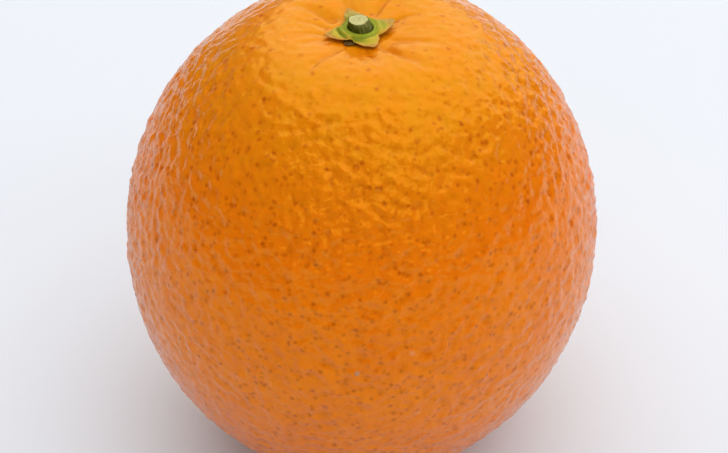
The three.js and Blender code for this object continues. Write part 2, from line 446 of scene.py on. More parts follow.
# %% Relief
WANDER, WANDER_SIZE = 0.9, 6
BARE_UNDER_CALYX = (3.2, 5.2)
RESTING_EDGE = 0.8
RELIEF_AT_REST = 0.25
DIMPLES_WHERE_TIGHT = 0.5

wander = WANDER * noise_at(skin, WANDER_SIZE, seed=8)
broad, lines = crease_depths(np.where(upper_half, out, EQUATOR_RADIUS), heading, wander)
lump_relief = lumps * (LUMPS_EVERYWHERE + LUMPS_WHERE_LOOSE * pebbly)
dimple_strength = DIMPLES_WHERE_TIGHT + (1 - DIMPLES_WHERE_TIGHT) * pebbly
relief = lump_relief - DIMPLE_DEPTH * dimples * dimple_strength
clear_of_calyx = np.where(upper_half, smooth(out, *BARE_UNDER_CALYX), 1)
above_table = smooth(skin[:, 2], -REST_DEPTH, -REST_DEPTH + RESTING_EDGE)
relief = relief * clear_of_calyx * (RELIEF_AT_REST + (1 - RELIEF_AT_REST) * above_table)
surface = skin + outward * relief[:, None]
surface[:, 2] -= broad + lines
print("deepest crease, mm:", round(float((broad + lines).max()), 2))

# %% [markdown]
# ## The blossom end
# The flower's style left a small round scar at the bottom, with a low rim. The fruit stands round it, so no
# point may lie lower than the table, and whatever would is lifted to it. This end is hidden in the
# photograph, and it is finished as on any orange.

# %% Scar and resting face
SCAR_DEPTH, SCAR_RADIUS = 0.55, 1.5
RIM_HEIGHT, RIM_RADIUS, RIM_WIDTH = 0.12, 2.2, 0.5

scar = np.where(lower, bell(out, SCAR_RADIUS), 0)
rim = np.where(lower, bell(out - RIM_RADIUS, RIM_WIDTH), 0)
surface[:, 2] += SCAR_DEPTH * scar + RIM_HEIGHT * rim
surface[:, 2] = np.maximum(surface[:, 2], -REST_DEPTH)
print("scar's floor, mm above the table:", round(float(surface[scar.argmax(), 2]) + REST_DEPTH, 2))

# %% [markdown]
# ## The finished mesh and what its shader reads
# Each corner keeps a few numbers, such as how deep its dimple is. The shader reads them by name, so the
# colour follows the form wherever it goes, which a painted picture would not.

# %% Rind's corners and attributes
# How much painted shade darkens the broad creases and the lines at their bottoms.
CREASE_PAINTED_SHADE, LINE_PAINTED_SHADE = 0.6, 3
PALE_ABOVE = (16, 40)
PALEST = 0.8


def place_corners(piece, places):
    """Moves a mesh's corners to these places, in mm from the equator's middle."""
    metres = places * MM
    metres[:, 2] += REST_HEIGHT
    piece.data.vertices.foreach_set("co", metres.ravel())
    piece.data.polygons.foreach_set("use_smooth", [True] * len(piece.data.polygons))
    piece.data.update()


def add_attribute(piece, name, values):
    """One number for each corner, which a shader can read by this name."""
    attribute = piece.data.attributes.new(name, "FLOAT", "POINT")
    attribute.data.foreach_set("value", values.astype(np.float32))


place_corners(rind, surface)
add_attribute(rind, "dimple", dimples)
# The crease attribute sets how much painted shade darkens each fold.
add_attribute(rind, "crease", CREASE_PAINTED_SHADE * broad + LINE_PAINTED_SHADE * lines)
add_attribute(rind, "scar", scar)
add_attribute(rind, "looseness", looseness)
add_attribute(rind, "pebbly", pebbly)
add_attribute(rind, "upper", PALEST * smooth(skin[:, 2], *PALE_ABOVE))
print("rind in mm:", (np.ptp(surface, axis=0)).round(2).tolist())

# %% [markdown]
# ## Shader helpers
# The peel, the calyx and the stem all need the same two effects: blotches of uneven colour, and fine dots.
# Each is one node group, which is used with its own sizes. The nodes could be copied into each material,
# but then a change would have to be made three times. Sizes are given in metres, as all places are.

# %% Node helpers


def new_group(name, inputs, outputs):
    """An empty shader node group with these sockets, and its two ends."""
    group = bpy.data.node_groups.new(name, "ShaderNodeTree")
    for socket_name, kind, value in inputs:
        socket = group.interface.new_socket(socket_name, in_out="INPUT", socket_type=kind)
        if value is not None:
            socket.default_value = value
    for socket_name, kind in outputs:
        group.interface.new_socket(socket_name, in_out="OUTPUT", socket_type=kind)
    start = group.nodes.new("NodeGroupInput")
    end = group.nodes.new("NodeGroupOutput")
    return group, start, end


def math_node(tree_of_nodes, operation, first, second, clamp=False):
    """A Math node. Each input is a socket or a number."""
    node = tree_of_nodes.nodes.new("ShaderNodeMath")
    node.operation = operation
    node.use_clamp = clamp
    for socket, value in zip(node.inputs, (first, second)):
        if isinstance(value, (int, float)):
            socket.default_value = value
        else:
            tree_of_nodes.links.new(value, socket)
    return node.outputs[0]


# %% Blotches


def blotches_group():
    """Uneven patches of a given size: Mask goes from 0 to 1."""
    group, start, end = new_group(
        "blotches",
        (
            ("Vector", "NodeSocketVector", None), ("Size", "NodeSocketFloat", 0.005),
            ("Contrast", "NodeSocketFloat", 2), ("Detail", "NodeSocketFloat", 3),
        ),
        (("Mask", "NodeSocketFloat"),),
    )
    pattern = group.nodes.new("ShaderNodeTexNoise")
    group.links.new(start.outputs["Detail"], pattern.inputs["Detail"])
    group.links.new(start.outputs["Vector"], pattern.inputs["Vector"])
    scale = math_node(group, "DIVIDE", 1.0, start.outputs["Size"])
    group.links.new(scale, pattern.inputs["Scale"])
    centred = math_node(group, "SUBTRACT", pattern.outputs[0], 0.5)
    spread = math_node(group, "MULTIPLY", centred, start.outputs["Contrast"])
    mask = math_node(group, "ADD", spread, 0.5, clamp=True)
    group.links.new(mask, end.inputs["Mask"])
    return group


BLOTCHES = blotches_group()
print("nodes in the blotches:", len(BLOTCHES.nodes))

# %% [markdown]
# ## Fine dots
# A pore is a soft dark dot. A Voronoi texture puts one spot in each cell, and the distance to it makes the
# dot. Its dots are perfect circles, so noise first bends the place where it is read.

# %% Fine dots
# How much finer than the dots the noise is, and how far it bends them, as a share of their spacing.
BEND_FINER, BEND_SHARE = 2.5, 0.35


def vector_node(group, operation, first):
    """A Vector Math node with its first input linked."""
    node = group.nodes.new("ShaderNodeVectorMath")
    node.operation = operation
    group.links.new(first, node.inputs[0])
    return node


def bent_place(group, start, scale):
    """The place where a pattern is read, moved aside by noise a little finer than the dots."""
    bend = group.nodes.new("ShaderNodeTexNoise")
    group.links.new(start.outputs["Vector"], bend.inputs["Vector"])
    group.links.new(math_node(group, "MULTIPLY", scale, BEND_FINER), bend.inputs["Scale"])
    centred = vector_node(group, "SUBTRACT", bend.outputs["Color"])
    centred.inputs[1].default_value = (0.5, 0.5, 0.5)
    shift = vector_node(group, "SCALE", centred.outputs[0])
    far = math_node(group, "MULTIPLY", start.outputs["Spacing"], BEND_SHARE)
    group.links.new(far, shift.inputs["Scale"])
    bent = vector_node(group, "ADD", start.outputs["Vector"])
    group.links.new(shift.outputs[0], bent.inputs[1])
    return bent.outputs[0]


def dots_group():
    """Small soft dots, one to a cell and not quite round: Mask is 1 in the middle of a dot."""
    group, start, end = new_group(
        "fine_dots",
        (
            ("Vector", "NodeSocketVector", None), ("Spacing", "NodeSocketFloat", 0.001),
            ("Width", "NodeSocketFloat", 0.3),
        ),
        (("Mask", "NodeSocketFloat"),),
    )
    scale = math_node(group, "DIVIDE", 1.0, start.outputs["Spacing"])
    cells = group.nodes.new("ShaderNodeTexVoronoi")
    group.links.new(bent_place(group, start, scale), cells.inputs["Vector"])
    group.links.new(scale, cells.inputs["Scale"])
    share = math_node(group, "DIVIDE", cells.outputs["Distance"], start.outputs["Width"])
    square = math_node(group, "MULTIPLY", share, share)
    inside = math_node(group, "SUBTRACT", 1.0, square, clamp=True)
    soft = math_node(group, "MULTIPLY", inside, inside)
    group.links.new(soft, end.inputs["Mask"])
    return group


DOTS = dots_group()
print("nodes in the dots:", len(DOTS.nodes))

# %% [markdown]
# ## A finish under construction
# Each material is a Principled shader that masks and colours feed. Writing out every node and link hides
# what the finish does, so a small class gives each of them one short call.

# %% Finish


class Finish:
    """A material under construction: its Principled shader and short ways to add nodes to it."""

    def __init__(self, name):
        self.material = bpy.data.materials.new(name)
        self.material.use_nodes = True
        self.tree = self.material.node_tree
        self.shader = self.tree.nodes["Principled BSDF"]
        self.place = self.tree.nodes.new("ShaderNodeTexCoord").outputs["Object"]

    def set(self, **values):
        """Gives the shader's own sockets these values."""
        for name, value in values.items():
            self.shader.inputs[name.replace("_", " ")].default_value = value

    def attribute(self, name):
        """A number that the mesh keeps for each corner."""
        node = self.tree.nodes.new("ShaderNodeAttribute")
        node.attribute_name = name
        return node.outputs["Fac"]

    def grouped(self, group, **values):
        """The mask of a node group with these values."""
        node = self.tree.nodes.new("ShaderNodeGroup")
        node.node_tree = group
        self.tree.links.new(self.place, node.inputs["Vector"])
        for name, value in values.items():
            node.inputs[name].default_value = value
        return node.outputs["Mask"]

    def math(self, operation, first, second, clamp=False):
        return math_node(self.tree, operation, first, second, clamp)

    def scaled(self, socket, times, plus):
        """A value times one number, plus another."""
        return self.math("ADD", self.math("MULTIPLY", socket, times), plus)

    def weighed(self, mask, strength, weakest, clamp=False):
        """A mask, weakened where the second one is low, down to this share."""
        return self.math("MULTIPLY", mask, self.math("ADD", strength, weakest), clamp)

    def mix(self, share, first, second):
        """A colour between two. The share and each colour is a socket or a value."""
        node = self.tree.nodes.new("ShaderNodeMix")
        node.data_type = "RGBA"
        for socket, value in zip((node.inputs[0], node.inputs[6], node.inputs[7]), (share, first, second)):
            if isinstance(value, (int, float, tuple)):
                socket.default_value = value
            else:
                self.tree.links.new(value, socket)
        return node.outputs[2]

    def near(self, spot, radius):
        """1 at a spot, falling to 0 at this radius, both in metres."""
        away = vector_node(self.tree, "DISTANCE", self.place)
        away.inputs[1].default_value = spot
        share = self.math("DIVIDE", away.outputs["Value"], radius)
        return self.math("SUBTRACT", 1.0, share, clamp=True)

    def feed(self, name, socket):
        self.tree.links.new(socket, self.shader.inputs[name])

    def bump(self, height):
        """Turns heights in metres into a bump."""
        node = self.tree.nodes.new("ShaderNodeBump")
        node.inputs["Strength"].default_value = 1
        node.inputs["Distance"].default_value = 1
        self.tree.links.new(height, node.inputs["Height"])
        self.feed("Normal", node.outputs["Normal"])


# %% [markdown]
# ## Two blemishes
# The rind has a small grey scab and a pinkish one on its front. Their places could be guessed in
# millimetres, but each is known best from the picture. So the camera's own geometry is used to find the
# corner of the rind that shows there.

# %% Places on the rind
GREY_SCAB_PX = (356, 372)
PINK_SCAB_PX = (413, 353)
TOO_FAR = 1000
focal_px = camera.data.lens * PICTURE[0] / SENSOR


def rind_place(pixel):
    """The spot on the rind that shows at a pixel, in metres."""
    from_camera = corners_of(rind) - np.array(camera.location)
    depth = -from_camera @ np.array(toward_camera)
    across = PICTURE[0] / 2 + focal_px * from_camera[:, 0] / depth
    down = PICTURE[1] / 2 - focal_px * (from_camera @ np.array(picture_up)) / depth
    faces_camera = outward @ np.array(toward_camera) > 0
    away = np.hypot(across - pixel[0], down - pixel[1]) + np.where(faces_camera, 0, TOO_FAR)
    return tuple(rind.data.vertices[int(away.argmin())].co)


grey_scab = rind_place(GREY_SCAB_PX)
pink_scab = rind_place(PINK_SCAB_PX)
print("scabs in mm:", [[round(v / MM, 1) for v in spot] for spot in (grey_scab, pink_scab)])

# %% [markdown]
# ## The peel's finish
# Orange peel is waxy: light goes a little way in before it comes out again, and the wax gives a soft gloss.
# The sheen in the photograph is golden, and pale only at the edge, so the gloss is tinted. The colour could
# be one flat orange, but real peel is mottled, and here it is also yellower towards the crown. Two sets of
# pores, sparse wide ones and dense fine ones, are darker than the rind round them, each as much as a blotch
# lets it be. The dimples and the creases are darkened as well, which is painted shade in those hollows. The
# pores have no relief of their own, because the dimples of the mesh are that already.

# %% Peel colours
PEEL_DEEP = (0.735, 0.136, 0.0008, 1)
PEEL_BRIGHT = (0.810, 0.192, 0.0010, 1)
PEEL_UPPER = (0.650, 0.218, 0.0012, 1)
# The pores' own dark orange, also used as the painted shade in the dimples and the creases.
PORE_AND_SHADE_COLOUR = (0.440, 0.066, 0.0003, 1)
SCAR_COLOUR = (0.12, 0.055, 0.018, 1)
GREY_SCAB_COLOUR = (0.38, 0.25, 0.22, 1)
PINK_SCAB_COLOUR = (0.75, 0.24, 0.10, 1)
GREY_SCAB_RADIUS, PINK_SCAB_RADIUS = 0.0006, 0.0007
BROAD_BLOTCHES = {"Size": 0.011, "Contrast": 2.0}
MOTTLE = {"Size": 0.0014, "Contrast": 2.0}
BROAD_SHARE, MOTTLE_SHARE = 0.55, 0.45
PALE_PATCHES = {"Size": 0.0036, "Contrast": 2.5}
PATCH_SHARE, PALE_AT_LEAST = 0.5, 0.7


def peel_colour(peel):
    """The rind's mottled orange, yellower towards the crown."""
    blotch = peel.grouped(BLOTCHES, **BROAD_BLOTCHES)
    mottle = peel.grouped(BLOTCHES, **MOTTLE)
    broad_part = peel.math("MULTIPLY", blotch, BROAD_SHARE)
    tone = peel.math("ADD", broad_part, peel.math("MULTIPLY", mottle, MOTTLE_SHARE))
    colour = peel.mix(tone, PEEL_DEEP, PEEL_BRIGHT)
    patch = peel.scaled(peel.grouped(BLOTCHES, **PALE_PATCHES), PATCH_SHARE, PALE_AT_LEAST)
    light = peel.math("MULTIPLY", peel.attribute("upper"), patch)
    return peel.mix(light, colour, PEEL_UPPER)


# %% Peel pores
WIDE_PORES = {"Spacing": 0.0025, "Width": 0.27}
FINE_PORES = {"Spacing": 0.0014, "Width": 0.45}
LOOSE_PORES, TIGHT_PORES = 0.6, 0.2
PORE_PATCHES = {"Size": 0.002, "Contrast": 3.5}
PORES_AT_LEAST = 0.15
# How much painted shade darkens the dimples and the creases.
DIMPLE_SHADE, CREASE_SHADE = 0.24, 0.5


def pore_and_shade_mask(peel):
    """How dark the pores are, with painted shade in the dimples and the creases, from 0 to 1."""
    wide_pore = peel.grouped(DOTS, **WIDE_PORES)
    fine_pore = peel.grouped(DOTS, **FINE_PORES)
    strength = peel.scaled(peel.attribute("looseness"), LOOSE_PORES, TIGHT_PORES)
    dark = peel.math("MAXIMUM", wide_pore, peel.math("MULTIPLY", fine_pore, strength))
    dark = peel.weighed(dark, peel.grouped(BLOTCHES, **PORE_PATCHES), PORES_AT_LEAST)
    # Painted shade in the dimples and in the creases.
    painted_dip_shade = peel.math("MULTIPLY", peel.attribute("dimple"), DIMPLE_SHADE, clamp=True)
    dark = peel.math("ADD", dark, painted_dip_shade, clamp=True)
    painted_fold_shade = peel.math("MULTIPLY", peel.attribute("crease"), CREASE_SHADE)
    return peel.math("ADD", dark, painted_fold_shade, clamp=True)


# %% Peel
GLOSS_TINT = (1.0, 0.85, 0.12, 1)
WAX_IOR = 1.7
ROUGHNESS, UNEVEN_ROUGHNESS = 0.15, 0.07
WAX_PATCHES = {"Size": 0.002, "Contrast": 1.5}
GRAIN = {"Size": 0.0012, "Contrast": 1, "Detail": 1}
GRAIN_HEIGHT, GRAIN_AT_LEAST = 0.00034, 0.14
LIGHT_INSIDE = 0.22
LIGHT_REACH = (1.0, 0.42, 0.08)
DEPTH_OF_LIGHT = 0.0006


def peel_finish():
    peel = Finish("peel")
    colour = peel.mix(pore_and_shade_mask(peel), peel_colour(peel), PORE_AND_SHADE_COLOUR)
    colour = peel.mix(peel.near(grey_scab, GREY_SCAB_RADIUS), colour, GREY_SCAB_COLOUR)
    colour = peel.mix(peel.near(pink_scab, PINK_SCAB_RADIUS), colour, PINK_SCAB_COLOUR)
    colour = peel.mix(peel.attribute("scar"), colour, SCAR_COLOUR)
    peel.feed("Base Color", colour)
    wax = peel.grouped(BLOTCHES, **WAX_PATCHES)
    peel.feed("Roughness", peel.scaled(wax, UNEVEN_ROUGHNESS, ROUGHNESS))
    grain = peel.weighed(peel.grouped(BLOTCHES, **GRAIN), peel.attribute("pebbly"), GRAIN_AT_LEAST)
    peel.bump(peel.math("MULTIPLY", grain, GRAIN_HEIGHT))
    peel.set(IOR=WAX_IOR, Specular_Tint=GLOSS_TINT, Subsurface_Weight=LIGHT_INSIDE)
    peel.set(Subsurface_Radius=LIGHT_REACH, Subsurface_Scale=DEPTH_OF_LIGHT)
    return peel.material


rind.data.materials.append(peel_finish())
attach(rind, "root")
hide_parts("fruit")
print("nodes in the peel:", len(rind.data.materials[0].node_tree.nodes))

# %% [markdown]
# ## The calyx
# The calyx is the old flower's cup. It is thick and green round the stem, where it makes a swollen collar,
# and its four sepals spread over the fruit and dry out at their tips. Four leaves could be set round a
# ring, but they would have to be joined to it without a seam. So a profile is spun once round the core,
# which gives a closed disc, and every ring outside the collar is then drawn out to the sepals' outline.

# %% Calyx outline
NOTCH_RADIUS = 3.35
# Each row is a heading, how far the tip reaches in mm, spread and curve on the clockwise and the other side,
# and how much the tip is lifted.
SEPALS = (
    (23, 6.1, (56, 1.15), (32, 1.9), 0.40), (110, 6.2, (42, 1.9), (27, 1.0), 0.34),
    (196, 6.1, (32, 1.5), (46, 0.85), 0.10), (296, 5.65, (46, 0.62), (36, 1.2), 0.05),
)
CUP_RADIUS = 1.95
COLLAR_TOP, COLLAR_PEAK, COLLAR_TO = 41.0, 2.35, 2.9
CLEARANCE = 0.27
ARCH_HEIGHT = 0.3


def calyx_reach(around):
    """How far the calyx reaches from the core at these headings, in mm."""
    reach = np.full_like(around, NOTCH_RADIUS)
    for at, tip, clockwise, other, _ in SEPALS:
        turn = turn_between(around, at)
        spread = np.where(turn < 0, clockwise[0], other[0])
        curve = np.where(turn < 0, clockwise[1], other[1])
        share = np.clip(1 - np.abs(turn) / spread, 0, 1)
        reach = np.maximum(reach, NOTCH_RADIUS + (tip - NOTCH_RADIUS) * share ** curve)
    return reach


def calyx_underside(distance):
    """The height of its underside, which lies close to the rind and arches up just past the collar."""
    rises = smooth(distance, COLLAR_PEAK, COLLAR_TO)
    falls = smooth(distance, NOTCH_RADIUS + 1, NOTCH_RADIUS + 2)
    arch = rises * (1 - falls)
    return crown_height(distance) + CLEARANCE + ARCH_HEIGHT * arch


# %% Calyx mesh
CALYX_STEPS = 240
CUP_RINGS = [0.8, 1.6, 1.8, CUP_RADIUS, 1.98, 2.02, 2.06, 2.1, 2.14, 2.2, COLLAR_PEAK, 2.5, 2.7, COLLAR_TO]
SEPAL_RINGS = 25
MERGE_WITHIN = 0.0001


def spin_round(maker, steps):
    """Spins everything in a bmesh once round the core and closes it."""
    bmesh.ops.spin(
        maker, geom=maker.verts[:] + maker.edges[:], cent=(0, 0, 0), axis=(0, 0, 1), angle=math.tau,
        steps=steps, use_merge=True,
    )
    bmesh.ops.remove_doubles(maker, verts=maker.verts[:], dist=MERGE_WITHIN)
    bmesh.ops.recalc_face_normals(maker, faces=maker.faces[:])


def draw_profile(maker, places):
    """A row of edges through these places, each a distance from the core and a height."""
    corners = [maker.verts.new((across, 0, up)) for across, up in places]
    return [maker.edges.new(pair) for pair in zip(corners, corners[1:])]


def spun_disc(name, rings, steps):
    """A closed flat disc with these rings below (z = 0) and above (z = 1)."""
    maker = bmesh.new()
    below = [(ring, 0) for ring in [0, *rings]]
    above = [(ring, 1) for ring in [*rings[::-1], 0]]
    draw_profile(maker, below + above)
    spin_round(maker, steps)
    return put_in_scene(name, maker)


sepal_rings = np.linspace(COLLAR_TO, NOTCH_RADIUS, SEPAL_RINGS + 1)[1:].tolist()
calyx = spun_disc("calyx_cup", CUP_RINGS + sepal_rings, CALYX_STEPS)
spots = corners_of(calyx)
around = np.arctan2(spots[:, 1], spots[:, 0])
turned = np.degrees(around)
ring = np.hypot(spots[:, 0], spots[:, 1])
above = spots[:, 2] > 0.5
print("calyx:", len(calyx.data.polygons), "faces")

# %% [markdown]
# ## The sepals' relief
# From the collar outwards, each sepal swells, dips into a groove, rises again as a thin plate and ends in
# an edge that stands just off the rind. Each swelling and each groove is a bump with its own heading and
# distance, as the photograph shows them, and noise curls the thin edges. All of them are added up as
# heights, which is simpler than moving corners by hand and can be changed at any time.

# %% Swellings and grooves
# Each row is a heading and a spread in degrees, a distance from the core, a half width and a height in mm.
SWELLINGS = (
    (212, 42, 3.3, 0.33, 0.18), (212, 50, 4.7, 0.50, 0.14), (304, 44, 3.8, 0.50, 0.24),
    (18, 50, 3.1, 0.40, 0.24), (110, 45, 3.2, 0.45, 0.12),
)
GROOVES = (
    (212, 42, 3.9, 0.24, 0.26), (298, 48, 3.05, 0.22, 0.18), (18, 50, 4.0, 0.35, 0.08),
    (262, 17, 3.6, 0.8, 0.22), (140, 26, 3.3, 0.8, 0.14), (172, 26, 3.05, 0.35, 0.10),
)
STRAY, STRAY_SIZE = 0.3, 2.2
FLAT_NEAR_EDGE = 0.75


def ridges(rows, distance, headings):
    """Ridges across the sepals, as high as each row says."""
    total = np.zeros_like(distance)
    for at, spread, place, width, high in rows:
        total += high * bell(distance - place, width) * bell(turn_between(headings, at), spread)
    return total


reach = calyx_reach(turned)
along = np.clip((ring - COLLAR_TO) / (NOTCH_RADIUS - COLLAR_TO), 0, 1)
drawn = np.where(ring > COLLAR_TO, COLLAR_TO + along * (reach - COLLAR_TO), ring)
flat_place = np.column_stack((drawn * np.cos(around), drawn * np.sin(around), np.zeros(len(ring))))
stray = drawn + STRAY * noise_at(flat_place, STRAY_SIZE, seed=25)
swelling = ridges(SWELLINGS, stray, turned)
groove = ridges(GROOVES, stray, turned)
bumps = swelling - groove
bumps *= 1 - smooth(along, FLAT_NEAR_EDGE, 1)
print("highest swelling, mm:", round(float(swelling.max()), 2))
print("deepest groove, mm:", round(float(groove.max()), 2))

# %% Collar and sepals
CUP_THICKNESS, EDGE_THICKNESS, SEPAL_THICKNESS = 0.35, 0.15, 0.6
THINNEST = 0.10
EDGE_GAP = 0.10
TIP_SPREAD = 34
COLLAR_UNEVEN, COLLAR_UNEVEN_SIZE = 0.10, 1.8
COLLAR_LEAN, COLLAR_LEANS_FROM = 0.06, 150
BROAD_CURL, BROAD_CURL_SIZE = 0.16, 1.4
FINE_CURL, FINE_CURL_SIZE = 0.10, 0.6
WOBBLE, WOBBLE_SIZE = 0.03, 0.8
# The collar's inner wall rises between these distances, and the sepals slope down along this share of them.
INNER_WALL = (CUP_RADIUS - 0.01, COLLAR_PEAK - 0.15)
SLOPE_ALONG = (-0.1, 1.0)

lift = sum(rise * bell(turn_between(turned, at), TIP_SPREAD) for at, _, _, _, rise in SEPALS)
cup_floor = float(calyx_underside(np.array([CUP_RADIUS]))[0]) + CUP_THICKNESS
collar_height = COLLAR_TOP + COLLAR_UNEVEN * noise_at(flat_place, COLLAR_UNEVEN_SIZE, seed=23)
collar_height += COLLAR_LEAN * np.cos(around - math.radians(COLLAR_LEANS_FROM))
inner_wall = smooth(ring, *INNER_WALL)
inside_collar = cup_floor + inner_wall * (collar_height - cup_floor)
edge_height = calyx_underside(reach) + EDGE_THICKNESS + EDGE_GAP + lift
broad_curl = BROAD_CURL * noise_at(flat_place, BROAD_CURL_SIZE, seed=21)
fine_curl = FINE_CURL * noise_at(flat_place, FINE_CURL_SIZE, seed=22)
curl = (broad_curl + fine_curl) * along
slope = collar_height + (edge_height - collar_height) * smooth(along, *SLOPE_ALONG)
outside_collar = slope + (bumps + curl) * smooth(drawn, COLLAR_PEAK, COLLAR_TO)
over = np.where(ring > COLLAR_PEAK, outside_collar, inside_collar)
thickness = SEPAL_THICKNESS + (EDGE_THICKNESS - SEPAL_THICKNESS) * along
under = calyx_underside(drawn)
under = np.where(ring > COLLAR_TO, np.maximum(under, over - thickness), under)
height = np.where(above, np.maximum(over, under + THINNEST), under)
wobble = 1 + along * WOBBLE * noise_at(flat_place, WOBBLE_SIZE, seed=24)
calyx_x = drawn * wobble * np.cos(around)
calyx_y = drawn * wobble * np.sin(around)
place_corners(calyx, np.column_stack((calyx_x, calyx_y, height)))
print("calyx in mm:", (np.ptp(corners_of(calyx), axis=0) / MM).round(2).tolist())

# %% Calyx attributes
TAN_EDGE = (0.10, 0.75)
# Headings and spreads in degrees where the edge stays green.
GREEN_EDGES = ((252, 9), (140, 20))
GREEN_SHARE = 0.9
DRY_FROM = (4.5, 5.5)
DRIEST_AT, DRIEST_SPREAD, DRIEST_SOONER = 23, 25, 0.5
FULL_AT = 5
GROOVE_ENDS = (0.7, 0.95)
BEHIND, PALE_FROM = (0.1, 0.9), (2.6, 3.6)

edge = (1 - smooth(reach - drawn, *TAN_EDGE)) * smooth(reach, NOTCH_RADIUS, NOTCH_RADIUS + 1)
for at, spread in GREEN_EDGES:
    edge *= 1 - GREEN_SHARE * bell(turn_between(turned, at), spread)
sooner = DRIEST_SOONER * bell(turn_between(turned, DRIEST_AT), DRIEST_SPREAD)
add_attribute(calyx, "along", along)
add_attribute(calyx, "edge", edge)
add_attribute(calyx, "dry", smooth(drawn + sooner, *DRY_FROM))
# The groove mask also sets where painted shade darkens the calyx.
add_attribute(calyx, "groove", np.minimum(1, groove * FULL_AT) * (1 - smooth(along, *GROOVE_ENDS)))
# The swelling mask also sets where a painted highlight makes the calyx yellower.
add_attribute(calyx, "swelling", np.minimum(1, swelling * FULL_AT))
# The cup mask sets where painted shade darkens the cup round the stem's foot.
add_attribute(calyx, "cup", 1 - inner_wall)
add_attribute(calyx, "behind", smooth(np.sin(around), *BEHIND) * smooth(drawn, *PALE_FROM))
print("attributes of the calyx:", len(calyx.data.attributes))

# %% [markdown]
# ## The tucked sepal
# A fifth sepal withered early. It lies flat on the rind under the edges of two others, so only a dark piece
# of it shows in the notch at the front. Its dark browns are partly its own withered colour and partly painted
# shade of that notch. A flat grid would have open edges, so it is a flattened ball, bent to the rind and
# crumpled by noise.

# %% Tucked sepal
TUCKED_HEADING, TUCKED_OUT = 241, 3.6
TUCKED_LENGTH, TUCKED_WIDTH, TUCKED_THICKNESS = 1.15, 1.1, 0.12
TUCKED_TAPER = 0.25
TUCKED_GAP = 0.22
CRUMPLE, CRUMPLE_SIZE = 0.08, 0.5

tucked_maker = bmesh.new()
bmesh.ops.create_uvsphere(tucked_maker, u_segments=48, v_segments=24, radius=1)
tucked = put_in_scene("withered_sepal", tucked_maker)
ball = corners_of(tucked)
along_it = (math.cos(math.radians(TUCKED_HEADING)), math.sin(math.radians(TUCKED_HEADING)))
from_core = TUCKED_OUT + TUCKED_LENGTH * ball[:, 0]
aside = TUCKED_WIDTH * ball[:, 1] * (1 - TUCKED_TAPER * ball[:, 0])
tucked_x = from_core * along_it[0] - aside * along_it[1]
tucked_y = from_core * along_it[1] + aside * along_it[0]
tucked_flat = np.column_stack((tucked_x, tucked_y, np.zeros(len(ball))))
crumple = CRUMPLE * noise_at(tucked_flat, CRUMPLE_SIZE, seed=41)
tucked_z = crown_height(np.hypot(tucked_x, tucked_y)) + TUCKED_GAP + TUCKED_THICKNESS * ball[:, 2] + crumple
place_corners(tucked, np.column_stack((tucked_x, tucked_y, tucked_z)))
print("withered sepal:", len(tucked.data.polygons), "faces")

# %% Tucked sepal's finish
# Withered browns, darkened further by painted shade of the notch.
WITHERED_AND_SHADED = (0.070, 0.028, 0.004, 1)
WITHERED_GREY = (0.125, 0.080, 0.025, 1)
WITHERED_PATCHES = {"Size": 0.0006, "Contrast": 3.0}
WITHERED_ROUGHNESS, WITHERED_GLOSS = 0.8, 0.12


def withered_finish():
    husk = Finish("withered_sepal")
    patch = husk.grouped(BLOTCHES, **WITHERED_PATCHES)
    husk.feed("Base Color", husk.mix(patch, WITHERED_AND_SHADED, WITHERED_GREY))
    husk.set(Roughness=WITHERED_ROUGHNESS, Specular_IOR_Level=WITHERED_GLOSS)
    return husk.material


tucked.data.materials.append(withered_finish())
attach(tucked, "root")
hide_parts("calyx")

# %% [markdown]
# ## The calyx's finish
# Green at the collar, yellower down the sepals, tan along their edges and grey-brown where the tips have
# dried. The sepal behind is paler and duller. The grooves and the cup round the stem's foot are darkened by
# painted shade, and the swellings are made yellower by a painted highlight. Each of these is a mask that the
# mesh keeps, and a mix lays one colour over the last, as thin coats of paint would. Blotches fray the masks,
# so that no colour ends in a clean line.

# %% Calyx colours
CALYX_GREEN = (0.215, 0.270, 0.016, 1)
CALYX_SHADE = (0.130, 0.165, 0.008, 1)
# Painted shade inside the cup round the stem's foot.
CALYX_CUP_SHADE = (0.070, 0.080, 0.006, 1)
CALYX_YELLOW = (0.475, 0.355, 0.034, 1)
CALYX_PALE = (0.370, 0.270, 0.085, 1)
CALYX_TAN = (0.550, 0.265, 0.055, 1)
CALYX_DRY = (0.240, 0.140, 0.070, 1)
CALYX_PATCHES = {"Size": 0.0012, "Contrast": 1.6}
CALYX_FLECKS = {"Size": 0.0003, "Contrast": 3.0}
# The second is how far a painted highlight on the swellings turns them yellow.
PATCHY, SWELLING_HIGHLIGHT, YELLOW_SOON = 0.8, 0.35, 1.1
# The last two are shares of painted shade, in the grooves and in the cup.
PALE_SHARE, SHADE_SHARE, CUP_SHADE_SHARE = 0.75, 0.85, 0.9
TAN_AT_LEAST, DRIED_AT_LEAST, UNSPOTTED = 0.35, 0.5, 0.2


